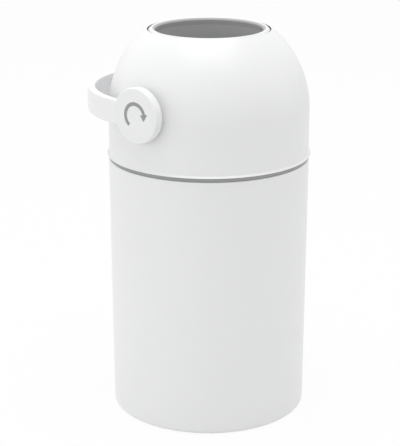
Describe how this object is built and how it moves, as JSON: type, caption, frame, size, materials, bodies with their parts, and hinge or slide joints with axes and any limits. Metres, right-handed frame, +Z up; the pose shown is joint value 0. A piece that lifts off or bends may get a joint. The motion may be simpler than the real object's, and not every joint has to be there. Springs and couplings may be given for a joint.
{
  "type": "nappy bin",
  "caption": "Domed nappy bin with a flip-over handle that turns a drum, a sliding piston in its well, and a hinged top and bag ring.",
  "frame": {"origin": "centre of the flat face that the bin stands on", "axes": "+Z up; -Y the front, where the handle's front hub is; +Y the back, where the top is hinged; -X the side on which the handle rests"},
  "size_m": [0.2638, 0.2644, 0.469],
  "materials": {
    "white_plastic": "smooth moulded, soft gloss",
    "grey_plastic": "smooth moulded, satin",
    "seal_rubber": "matt",
    "steel": "bright zinc"
  },
  "bodies": {
    "base": {"tub": "white_plastic", "foot_ring": "seal_rubber", "hinge_pin": "steel"},
    "ring": {"bag_ring": "grey_plastic"},
    "top": {"dome": "white_plastic", "front_bush": "grey_plastic", "rear_bush": "grey_plastic", "upper_seal": "seal_rubber", "lower_shroud": "grey_plastic", "lower_seal": "seal_rubber", "shroud_screws": "steel"},
    "drum": {"upper_drum_shell": "white_plastic", "lower_drum_shell": "white_plastic", "drum_liner": "grey_plastic", "drum_screws": "steel", "front_axle": "grey_plastic", "rear_axle": "grey_plastic", "handle": "white_plastic", "handle_screws": "steel", "front_hub_cap": "white_plastic", "rear_hub_cap": "white_plastic"},
    "piston": {"piston": "grey_plastic", "piston_seal": "seal_rubber"}
  },
  "joints": [
    {"name": "ring_hinge", "type": "hinge", "parent": "base", "child": "ring", "pos_m": [0, 0.128, 0.3167], "axis": [-1, 0, 0], "range_deg": [0, 25]},
    {"name": "top_hinge", "type": "hinge", "parent": "ring", "child": "top", "pos_m": [0, 0.128, 0.3167], "axis": [-1, 0, 0], "range_deg": [0, 75]},
    {"name": "drum_flip", "type": "hinge", "parent": "top", "child": "drum", "pos_m": [0, 0, 0.3867], "axis": [0, 1, 0], "range_deg": [0, 180]},
    {"name": "piston_slide", "type": "slide", "parent": "drum", "child": "piston", "axis": [0, 0, 1], "range_m": [0, 0.1271]}
  ]
}
